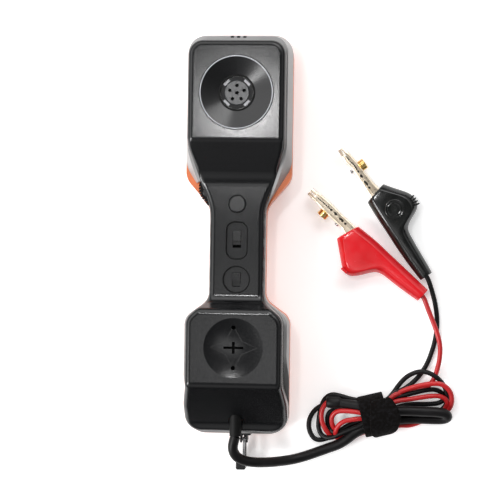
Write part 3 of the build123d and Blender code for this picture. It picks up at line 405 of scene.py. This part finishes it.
def build_strap():
    """The strap's turn round the hank, and its loose end laid over it."""
    wrap = ribbon("strap_wrap", [
        (-4.4, 8.4, 0, 1.4, 0), (-4.5, 8.4, 8, 1.4, 0), (-4.8, 8.5, 13.2, 1.8, 0),
        (-5.0, 8.6, 15.2, 5, 0), (-5.0, 8.6, 15.0, 10.5, 0), (-4.9, 8.6, 12.8, 15.2, 0),
        (-4.7, 8.7, 9.0, 17.3, 0), (-4.6, 8.8, 3, 17.8, 0), (-4.7, 8.8, -4, 17.4, 0),
        (-4.9, 8.8, -8.8, 15.4, 0), (-5.2, 8.6, -11.4, 11.5, 0), (-5.3, 8.4, -12.4, 6, 0),
        (-5.0, 8.4, -11.2, 1.9, 0), (-4.5, 8.4, -6, 1.4, 0),
    ], True)
    over = ribbon("strap_over", [
        (1.9, 6.2, 11.6, 16.4, 0.3), (2.2, 7.6, 9.8, 18.6, 0.4), (2.4, 9.0, 5.8, 19.8, 0.4),
        (2.5, 10.4, 0.9, 20.2, 0.3), (1.8, 10.7, -4.0, 19.6, 0), (0.7, 10.3, -7.8, 18.0, -0.3),
        (-0.2, 9.2, -10.9, 15.0, -0.6), (-1.1, 7.6, -12.7, 11.6, -0.8),
        (-1.8, 5.4, -13.4, 8.4, -0.8),
    ], False)
    return join("hank_strap_fabric", [wrap, over])


# ---------------------------------------------------------------- clip boots
CLIP_HEIGHT = 7            # a clip's middle plane, above the table


class ClipPlace:
    """The flat frame of a clip: s from the boot's mouth to its handle, w to its bulge."""

    def __init__(self, corner, turn, side):
        a = math.radians(turn)
        self.corner = corner
        self.along = (math.cos(a), math.sin(a))
        self.across = (-math.sin(a) * side, math.cos(a) * side)

    def at(self, s, w, z):
        x = self.corner[0] + s * self.along[0] + w * self.across[0]
        y = self.corner[1] + s * self.along[1] + w * self.across[1]
        return mm(x, y, CLIP_HEIGHT + z)


BLACK_CLIP = ClipPlace((85.2, 36.2), -55.2, 1)
RED_CLIP = ClipPlace((79.2, 20.1), -41.7, -1)

# each station: s at the straight side and at the bulge side, w of both sides, half thickness
BLACK_SECTIONS = [
    (0.0, -4.4, -0.3, 15.6, 6.0), (0.7, -3.5, -0.4, 16.3, 6.5), (4.5, 1.5, -0.6, 19.8, 6.75),
    (9.0, 7.3, -0.8, 24.6, 6.8), (12.5, 11.3, -0.9, 27.2, 6.8), (16.5, 15.8, -1.0, 27.7, 6.8),
    (20.5, 20.2, -1.0, 27.1, 6.8), (23.3, 23.0, -1.0, 23.8, 6.75), (25.4, 25.2, -1.1, 18.6, 6.65),
    (28.0, 27.8, -1.1, 13.6, 6.5), (31.0, 31.0, -1.2, 11.8, 6.4), (36.0, 36.0, -1.3, 11.2, 6.3),
    (46.0, 46.0, -1.2, 10.5, 6.1), (56.0, 56.0, -0.7, 9.9, 5.8), (61.8, 61.8, -0.2, 9.5, 5.6),
    (63.2, 63.2, 0.0, 9.2, 5.3),
]
RED_SECTIONS = [
    (0.0, -5.2, 0.2, 16.2, 6.0), (0.7, -4.3, 0.1, 17.0, 6.5), (4.5, 0.7, -0.1, 20.7, 6.75),
    (9.0, 6.7, -0.4, 25.4, 6.8), (12.5, 11.0, -0.6, 28.6, 6.8), (16.0, 15.2, -0.7, 30.0, 6.8),
    (19.5, 19.2, -0.7, 28.7, 6.8), (23.0, 22.8, -0.6, 24.4, 6.75), (26.0, 25.9, -0.5, 19.6, 6.65),
    (29.2, 29.2, -0.4, 14.9, 6.5), (33.0, 33.0, -0.4, 13.3, 6.4), (38.0, 38.0, -0.3, 12.9, 6.3),
    (46.0, 46.0, -0.2, 12.4, 6.1), (56.0, 56.0, 0.0, 11.3, 5.8), (61.8, 61.8, 0.1, 10.5, 5.6),
    (63.2, 63.2, 0.2, 10.2, 5.3),
]


def boot_ring(place, section):
    """One faceted cross section of the boot, from its straight side round to its bulge."""
    s_a, s_b, low, wide, high = section
    face = min(3.9, (wide - low) * 0.34)
    bulge = min(4.4, (wide - low) * 0.28)
    half = [
        (low, 0.0), (low + 0.15, 0.36), (low + face * 0.42, 0.72), (low + face, 0.965),
        (low + face + 0.45, 0.995), ((low + wide) / 2 + 0.4, 1.01), (wide - bulge - 0.5, 0.995),
        (wide - bulge, 0.96), (wide - bulge * 0.45, 0.70), (wide - 0.1, 0.32), (wide, 0.0),
    ]
    loop = [(w, high * z) for w, z in half]
    loop += [(w, -high * z) for w, z in reversed(half[1:-1])]
    return [place.at(s_a + (s_b - s_a) * (w - low) / (wide - low), w, z) for w, z in loop]


def build_boot(name, place, sections, shader, disc, fins):
    """A clip's soft boot; fins are the first and last s, the w of the ridge, and the length."""
    rings = [boot_ring(place, section) for section in sections]
    size = len(rings[0])
    points = [p for ring in rings for p in ring]
    faces = []
    for i in range(len(rings) - 1):
        faces += band(i * size, (i + 1) * size, size)
    faces += end_wall(points, rings[0], 0, (0.86, -0.9), place)
    faces += end_wall(points, rings[-1], (len(rings) - 1) * size, (0.55, 0.4), place)
    body = mesh_object(name + "_skin", points, faces, shader)
    subdivide(body, 2)
    pieces = [apply_modifiers(body)]
    if disc:
        pieces.append(press_disc(name + "_disc", place, shader))
    first, last, ridge, length = fins
    for k in range(4):
        s = first + (last - first) * k / 3
        pieces.append(boot_fin(f"{name}_fin_{k}", place, s, ridge, 6 * k - 8, length, shader))
    return join(name, pieces)


def end_wall(points, ring, first, lip, place):
    """Closes an end with a rolled lip and a flat floor, and returns its faces."""
    size = len(ring)
    middle = sum(ring, Vector()) / size
    shrink, depth = lip
    start = len(points)
    for scale, sink in ((0.97, 0.0), (shrink, depth * 0.4), (shrink * 0.5, depth * 0.4)):
        shift = Vector((place.along[0], place.along[1], 0)) * sink * MM
        points.extend(middle + (p - middle) * scale + shift for p in ring)
    faces = []
    last = first
    for step in range(3):
        row = start + step * size
        faces += band(last, row, size)
        last = row
    points.append(middle + Vector((place.along[0], place.along[1], 0)) * depth * 0.4 * MM)
    faces += [(last + k, last + (k + 1) % size, len(points) - 1) for k in range(size)]
    return faces


PRESS_S = 13.9
PRESS_W = 12.3
PRESS_HEIGHT = 6.82


def press_disc(name, place, shader):
    """Two faint rings round the place that the thumb presses."""
    profile = [
        (3.4, 0.04), (3.9, 0.05), (4.2, 0.17), (4.5, 0.17), (4.8, 0.05), (5.4, 0.05),
        (5.8, 0.22), (6.2, 0.22), (6.6, 0.02), (6.8, -0.4),
    ]
    count = 48
    points = []
    faces = []
    for radius, rise in profile:
        points += [place.at(PRESS_S + radius * x, PRESS_W + radius * y, PRESS_HEIGHT + rise)
                   for x, y in circle(count)]
    points.append(place.at(PRESS_S, PRESS_W, PRESS_HEIGHT + 0.02))
    for i in range(len(profile) - 1):
        faces += band(i * count, (i + 1) * count, count)
    faces += [(len(points) - 1, k, (k + 1) % count) for k in range(count)]
    return mesh_object(name, points, faces, shader)


def boot_fin(name, place, s, w, turn, length, shader):
    """One thin rubber fin that stands out at the bulge's corner."""
    a = math.radians(turn)
    out = (math.sin(a), math.cos(a))
    side = (math.cos(a), -math.sin(a))
    sections = (
        (-1.6, 0.62, 5.2), (0.2, 0.58, 5.0), (length * 0.8, 0.42, 4.3), (length, 0.2, 3.6),
    )
    points = []
    for reach, thick, high in sections:
        for t, z in ((-1, -1), (1, -1), (1, 1), (-1, 1)):
            points.append(place.at(
                s + out[0] * reach + side[0] * thick * t,
                w + out[1] * reach + side[1] * thick * t, high * z))
    faces = [(0, 1, 2, 3), (12, 15, 14, 13)]
    for i in range(3):
        faces += band(4 * i, 4 * i + 4, 4)
    obj = mesh_object(name, points, faces, shader)
    bevel = obj.modifiers.new("edge", "BEVEL")
    bevel.width = 0.18 * MM
    bevel.segments = 2
    return apply_modifiers(obj)


# ---------------------------------------------------------------- jaws, beds and screws
# places along s, where the boot's mouth is 0 and the jaws' tip is negative
JAW_TIP = -40.2
JAW_TAIL = 8.0
TEETH_END = -22
NEEDLE_BED_S = -23.2
TOOTH = 0.7
JAW_HALF = 2.9             # half the channel's width
JAW_SHEET = 0.45           # its thickness
# lines of (s, w) for the two spines and the line where the jaws meet
BLACK_JAWS = {
    "fixed": [(-40.2, 3.0), (-31, 2.5), (-25.5, 3.7), (-13.5, 3.8), (8, 3.5)],
    "middle": [(-40.2, 5.0), (-31, 5.4), (-26, 6.4), (-13.5, 6.2), (8, 6.8)],
    "moving": [(-40.2, 7.0), (-32, 8.3), (-26, 9.1), (-17.5, 9.6), (-9.2, 10.3), (-2.9, 11.5),
               (8, 13.5)],
}
RED_JAWS = {
    "fixed": [(-40.2, 2.3), (-30.6, 1.5), (-23.7, 1.4), (-14, 2.0), (8, 2.0)],
    "middle": [(-40.2, 4.9), (-33, 4.5), (-23, 4.3), (-12, 4.6), (8, 5.6)],
    "moving": [(-40.2, 7.3), (-32.2, 7.4), (-25.3, 8.1), (-17, 8.4), (-8, 8.5), (-4.5, 9.7),
               (8, 12.5)],
}
JAW_SLOTS = [(-21.9, -20.4), (-18.0, -16.4), (-13.2, -9.8), (-8.6, -7.2)]


def along_line(line, s):
    """The offset at s on a line of (s, w) points listed from the tip."""
    for (s_a, w_a), (s_b, w_b) in zip(line, line[1:]):
        if s <= s_b:
            return w_a + (w_b - w_a) * (s - s_a) / (s_b - s_a)
    return line[-1][1]


def build_jaw(name, place, lines, which):
    """A folded sheet channel: spine on its outer line, toothed and slotted edges at the middle."""
    side = 1 if which == "moving" else -1
    points = []
    count = round((JAW_TAIL - JAW_TIP) / TOOTH)
    for n in range(count + 1):
        s = JAW_TIP + n * TOOTH
        back = along_line(lines[which], s)
        edge = along_line(lines["middle"], s) + side * 0.1
        if JAW_TIP + 2 < s < TEETH_END:
            edge += side * (0.55 if n % 2 else 0.05)
        if any(low < s < high for low, high in JAW_SLOTS):
            edge += side * 0.7
        half = JAW_HALF - 0.9 * max(0, (JAW_TIP + 5 - s) / 5)
        section = [
            (edge, -half), (back - side * 1.0, -half), (back - side * 0.3, 0.3 - half),
            (back, 1.0 - half), (back, half - 1.0), (back - side * 0.3, half - 0.3),
            (back - side * 1.0, half), (edge, half),
        ]
        points += [place.at(s, w, z) for w, z in section]
    faces = []
    for n in range(count):
        faces += [(8 * n + k, 8 * n + k + 1, 8 * n + k + 9, 8 * n + k + 8) for k in range(7)]
    obj = mesh_object(name, points, faces, jaw_plated)
    solid = obj.modifiers.new("sheet", "SOLIDIFY")
    solid.thickness = JAW_SHEET * MM
    solid.offset = 0
    apply_modifiers(obj)
    obj.data.set_sharp_from_angle(angle=SHARP_ANGLE)
    return obj


def build_jaw_shade_strip(name, place, middle):
    """A dark strip of painted shade, seen through the slots between the two jaws."""
    points = []
    stations = [-34.0 + 2.0 * n for n in range(18)]
    for s in stations:
        w = along_line(middle, s)
        points += [place.at(s, w + a, b)
                   for a, b in ((-0.9, -1.5), (0.9, -1.5), (0.9, 1.6), (-0.9, 1.6))]
    faces = [(0, 1, 2, 3), tuple(len(points) - 4 + k for k in range(4))]
    for n in range(len(stations) - 1):
        faces += band(4 * n, 4 * n + 4, 4)
    return mesh_object(name, points, faces, jaw_painted_shade, smooth=False)


def turned(name, place, s, profile, shader):
    """A turned piece with its axis across the clip; profile lists (w, radius) from its foot."""
    count = 36
    points = []
    for w, radius in profile:
        points += [place.at(s + radius * x, w, radius * y) for x, y in circle(count)]
    faces = []
    for i in range(len(profile) - 1):
        faces += band(i * count, (i + 1) * count, count)
    faces.append(tuple(range(count)))
    faces.append(tuple((len(profile) - 1) * count + k for k in range(count)))
    obj = mesh_object(name, points, faces, shader)
    obj.data.set_sharp_from_angle(angle=SHARP_ANGLE)
    return obj


def build_bed(name, place, foot):
    """Brass bed of needles: a plain barrel with a thin groove and a sunk end."""
    return turned(name, place, NEEDLE_BED_S, [
        (foot - 0.8, 2.7), (foot + 0.1, 2.7), (foot + 0.1, 3.5), (foot + 0.3, 3.7),
        (foot + 0.9, 3.7), (foot + 1.05, 3.5), (foot + 1.2, 3.7), (foot + 4.0, 3.7),
        (foot + 4.3, 3.4), (foot + 4.3, 2.4), (foot + 3.9, 2.1), (foot + 3.9, 0.3),
    ], brass)


def build_screw(name, place, s, foot, side):
    """A small cheese-head wire screw; side is which way it faces along w."""
    return turned(name, place, s, [
        (foot - side * 0.4, 0.8), (foot + side * 0.4, 0.8), (foot + side * 0.4, 1.3),
        (foot + side * 1.5, 1.35), (foot + side * 1.7, 1.1), (foot + side * 1.7, 0.4),
        (foot + side * 1.3, 0.3),
    ], steel)


# ---------------------------------------------------------------- splitter where the cord parts
def build_splitter():
    """A short moulded sleeve from which the two leads leave the thick cord."""
    middle = Vector((64.0, -98.9, 9.0))
    along = Vector((-1.0, 0.02, -0.02)).normalized()
    across = along.cross(Vector((0, 0, 1))).normalized()
    up = across.cross(along)
    profile = [
        (-5.2, 3.2, 3.2), (-4.6, 4.1, 4.1), (-1.5, 4.3, 4.2), (1.5, 4.2, 4.0), (4.4, 3.9, 3.1),
        (5.2, 3.1, 2.4),
    ]
    count = 20
    points = []
    faces = []
    for place, wide, high in profile:
        points += [(middle + along * place + across * wide * x + up * high * y) * MM
                   for x, y in circle(count)]
    for i in range(len(profile) - 1):
        faces += band(i * count, (i + 1) * count, count)
    last = (len(profile) - 1) * count
    faces.append(tuple(range(count)))
    faces.append(tuple(last + k for k in range(count)))
    obj = mesh_object("cord_splitter", points, faces, lead_black)
    return apply_modifiers(subdivide(obj, 1))


# ---------------------------------------------------------------- assembling
finish_frame()

main_cord = cord_line("main_cord_line", MAIN_PATH, 6.8, lead_black)
black_lead = cord_line("black_lead_line", BLACK_PATH, 3.3, lead_black)
red_lead = cord_line("red_lead_line", RED_PATH, 3.3, lead_red)
splitter = build_splitter()
strap = build_strap()
black_skin = build_boot(
    "black_boot_skin", BLACK_CLIP, BLACK_SECTIONS, boot_black, True, (13.5, 19.6, 27.1, 1.4))
red_skin = build_boot(
    "red_boot_skin", RED_CLIP, RED_SECTIONS, boot_red, False, (11.0, 15.0, 29.2, 0.3))

for piece in (main_cord, black_lead, red_lead, splitter, strap):
    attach(piece, "root")
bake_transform(black_skin)
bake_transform(red_skin)

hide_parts("main_cord", "cord_hank")
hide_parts("black_lead")
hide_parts("red_lead")
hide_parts("hank_strap")
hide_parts("black_boot")
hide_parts("red_boot")


def fit_clip(colour, place, lines, bed_foot, screw, screw_body):
    """Puts the visible metal of one clip in place of its plain solids."""
    moving = f"{colour}_jaw"
    fixed_jaw = build_jaw(f"{colour}_jaw_channel", place, lines, "fixed")
    moving_jaw = build_jaw(f"{colour}_jaw_lever", place, lines, "moving")
    # a dark strip under the jaws' gap: painted shade
    shade_strip = build_jaw_shade_strip(f"{colour}_jaw_shade_strip", place, lines["middle"])
    bed = build_bed(f"{colour}_bed_barrel", place, bed_foot)
    head = build_screw(f"{colour}_screw_head", place, *screw)
    for piece, body, node, slot in (
        (fixed_jaw, "root", "fixed_jaw", "jaw_plated"),
        (moving_jaw, moving, "moving_jaw", "jaw_plated"),
        (shade_strip, "root", "", "jaw_plated"),
        (bed, moving, "needle_bed", "brass"),
        (head, screw_body, "wire_screw", "steel"),
    ):
        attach(piece, body)
        if node:
            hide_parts(f"{colour}_{node}")


fit_clip("black", BLACK_CLIP, BLACK_JAWS, 9.0, (-23.5, 3.4, -1), "root")
fit_clip("red", RED_CLIP, RED_JAWS, 8.0, (-11.8, 8.3, 1), "red_jaw")


# ---------------------------------------------------------------- trims on the handset, with painted shade and a painted highlight
# sections of (y, z) and half widths of the dark boxes of painted shade in the end wall's three slots,
# and of the notches above them in the band's edge
SLOT_PITCH = 4.1
SLOT_WALL = ((142.4, 41.1), (144.1, 41.1), (143.3, 46.8), (142.4, 46.8))
SLOT_EDGE = ((141.9, 48.5), (143.2, 48.5), (142.96, 50.04), (141.9, 50.04))
SLOT_SECTIONS = ((SLOT_WALL, 1.2), (SLOT_EDGE, 1.05))


# dark boxes in the slots and notches: painted shade where the openings fall dark
def build_slot_painted_shade():
    points = []
    faces = []
    for section, half in SLOT_SECTIONS:
        for n in (-1, 0, 1):
            a = len(points)
            for x in (SLOT_PITCH * n - half, SLOT_PITCH * n + half):
                points += [mm(x, y, z) for y, z in section]
            faces += [(a, a + 1, a + 2, a + 3), (a + 4, a + 7, a + 6, a + 5)]
            faces += band(a, a + 4, 4)
    slot_shade = mesh_object("end_slot_painted_shade", points, faces, dark_parts_and_painted_shade, smooth=False)
    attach(slot_shade, "root")


build_slot_painted_shade()


CORNER_STEPS = 20
CORNERS = ((1, 1), (-1, 1), (-1, -1), (1, -1))


def round_outline(centre_y, half_x, half_y, corner, grow):
    """Places and outward directions round a rounded rectangle, grown outward by grow."""
    outline = []
    for quarter, (side_x, side_y) in enumerate(CORNERS):
        for k in range(CORNER_STEPS + 1):
            angle = math.radians(90 * (quarter + k / CORNER_STEPS))
            out = (math.cos(angle), math.sin(angle))
            outline.append((
                side_x * (half_x - corner) + (corner + grow) * out[0],
                centre_y + side_y * (half_y - corner) + (corner + grow) * out[1], out))
    return outline


def circle_outline(centre_y, radius, grow):
    return round_outline(centre_y, radius, radius, radius, grow)


def build_trim(name, outline, section, shader):
    """A closed trim that follows an outline; its section is (outward, height) in millimetres."""
    points = [mm(x + u * out[0], y + u * out[1], z) for x, y, out in outline for u, z in section]
    size = len(section)
    faces = []
    for i in range(len(outline)):
        faces += band(i * size, (i + 1) % len(outline) * size, size)
    trim = mesh_object(name, points, faces, shader)
    work = bmesh.new()
    work.from_mesh(trim.data)
    bmesh.ops.remove_doubles(work, verts=work.verts, dist=0.000001)
    work.to_mesh(trim.data)
    work.free()
    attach(trim, "root")


def bead_section(radius, height):
    """A round bead whose middle is at the height."""
    angles = [math.radians(30 * k) for k in range(12)]
    return [(radius * math.cos(a), height + radius * math.sin(a)) for a in angles]


EAR_Y = 105.3
EAR_RIM_HEIGHT = 61.54
NECK_HEIGHT = 43.40
SEAT_SECTION = [(0, 57.1), (1.35, 57.1), (1.35, 57.34), (0, 57.34)]

# the ear dish's rim bead, light grey: a painted highlight, on top of its own gloss
build_trim("ear_dish_rim", circle_outline(EAR_Y, 23.3, 0.35),
           bead_section(0.45, EAR_RIM_HEIGHT), rim_painted_highlight)
# matte dark beads round the two pockets and the button, and a dark flat ring on the capsule's seat:
# painted shade along their edges
build_trim("upper_pocket_shade_ring", round_outline(9.2, 6.85, 12.2, 5.6, 0.15),
           bead_section(0.42, NECK_HEIGHT), dark_parts_and_painted_shade)
build_trim("lower_pocket_shade_ring", circle_outline(-16.6, 8.65, 0.15),
           bead_section(0.42, NECK_HEIGHT), dark_parts_and_painted_shade)
build_trim("button_shade_ring", circle_outline(33.2, 5.8, 0), bead_section(0.28, NECK_HEIGHT), dark_parts_and_painted_shade)
build_trim("capsule_seat_shade", circle_outline(EAR_Y, 10.7, 0), SEAT_SECTION, dark_parts_and_painted_shade)


# ---------------------------------------------------------------- table, light and camera
TABLE_HALF_WIDTH = 0.7
TABLE_NEAR = -0.25
TABLE_FAR = 0.7
TABLE_HEIGHT = -0.0002

floor = mesh_object("table_top", [
    (x, y, TABLE_HEIGHT) for x, y in (
        (-TABLE_HALF_WIDTH, TABLE_NEAR), (TABLE_HALF_WIDTH, TABLE_NEAR),
        (TABLE_HALF_WIDTH, TABLE_FAR), (-TABLE_HALF_WIDTH, TABLE_FAR))
], [(0, 1, 2, 3)], floor_white)


def softbox(name, place, aim, size, power):
    """A rectangular soft light that the camera doesn't see."""
    light = bpy.data.lights.new(name, "AREA")
    light.shape = "RECTANGLE"
    light.size, light.size_y = size
    light.energy = power
    obj = bpy.data.objects.new(name, light)
    obj.visible_camera = False
    obj.location = place
    obj.rotation_euler = (Vector(aim) - Vector(place)).to_track_quat("-Z", "Y").to_euler()
    bpy.context.scene.collection.objects.link(obj)


softbox("light_left", (-0.90, -0.45, 0.95), (0, 0, 0), (0.30, 0.30), 8)
softbox("light_low", (-0.82, -0.56, 0.42), (0.1, 0.03, 0.02), (0.30, 0.14), 3.0)
softbox("light_back", (0.35, 0.85, 0.90), (0, 0.1, 0), (0.60, 0.40), 3)
softbox("light_near", (-0.03, -0.16, 1.25), (0, -0.06, 0), (0.40, 0.22), 0.5)
softbox("light_over", (-0.034, 0.128, 0.50), (-0.02, 0.1, 0), (0.042, 0.034), 0.42)


BACKDROP = 0.93            # the plain pale wall behind the table, as it is seen directly
SKY_DIM = 0.40             # strength to the right and near side
SKY_BRIGHT = 2.2           # strength to the left and far side
SKY_LEAN = (-0.7, 0.75, 0)  # the bright side


def build_sky():
    """A soft white surround: brighter to the left and far side, dim near the zenith and low down."""
    world = bpy.data.worlds.new("studio")
    world.use_nodes = True
    tree = world.node_tree
    place = tree.nodes.new("ShaderNodeTexCoord").outputs["Generated"]
    split = tree.nodes.new("ShaderNodeSeparateXYZ")
    tree.links.new(place, split.inputs["Vector"])
    lean = tree.nodes.new("ShaderNodeVectorMath")
    lean.operation = "DOT_PRODUCT"
    lean.inputs[1].default_value = SKY_LEAN
    tree.links.new(place, lean.inputs[0])

    def fade(value, start, end, low, high):
        node = tree.nodes.new("ShaderNodeMapRange")
        node.interpolation_type = "SMOOTHSTEP"
        node.inputs["From Min"].default_value = start
        node.inputs["From Max"].default_value = end
        node.inputs["To Min"].default_value = low
        node.inputs["To Max"].default_value = high
        tree.links.new(value, node.inputs["Value"])
        return node.outputs["Result"]

    strength = fade(lean.outputs["Value"], -0.8, 0.8, SKY_DIM, SKY_BRIGHT)
    near_zenith = fade(split.outputs["Z"], 0.66, 0.92, 1.0, 0.12)
    low_down = fade(split.outputs["Z"], 0.1, 0.5, 0.1, 1.0)
    for factor in (near_zenith, low_down):
        product = tree.nodes.new("ShaderNodeMath")
        product.operation = "MULTIPLY"
        tree.links.new(strength, product.inputs[0])
        tree.links.new(factor, product.inputs[1])
        strength = product.outputs["Value"]
    backdrop = tree.nodes.new("ShaderNodeMix")
    backdrop.inputs["B"].default_value = BACKDROP
    tree.links.new(strength, backdrop.inputs["A"])
    path = tree.nodes.new("ShaderNodeLightPath")
    tree.links.new(path.outputs["Is Camera Ray"], backdrop.inputs["Factor"])
    tree.links.new(backdrop.outputs["Result"], tree.nodes["Background"].inputs["Strength"])
    tree.nodes["Background"].inputs["Color"].default_value = (1, 1, 1, 1)
    return world


bpy.context.scene.world = build_sky()
bpy.context.scene.view_settings.view_transform = "Standard"

CAMERA_AIM = mm(5.1, 3.0, 0)
CAMERA_DISTANCE = 1.2046
CAMERA_LEAN = math.radians(5)      # from straight above, towards the right
CAMERA_UP = (-0.0145, 1, 0)        # the picture's upward direction on the table
CAMERA_LENS = 127


def build_camera():
    lean = Vector((math.sin(CAMERA_LEAN), 0, math.cos(CAMERA_LEAN)))
    seat = CAMERA_AIM + lean * CAMERA_DISTANCE
    back = (seat - CAMERA_AIM).normalized()
    right = Vector(CAMERA_UP).cross(back).normalized()
    turn = Matrix((right, back.cross(right), back)).transposed()
    data = bpy.data.cameras.new("camera")
    data.lens = CAMERA_LENS
    data.sensor_width = 36
    data.clip_end = 20
    camera = bpy.data.objects.new("camera", data)
    camera.matrix_world = Matrix.Translation(seat) @ turn.to_4x4()
    bpy.context.scene.collection.objects.link(camera)
    return camera


bpy.context.scene.camera = build_camera()
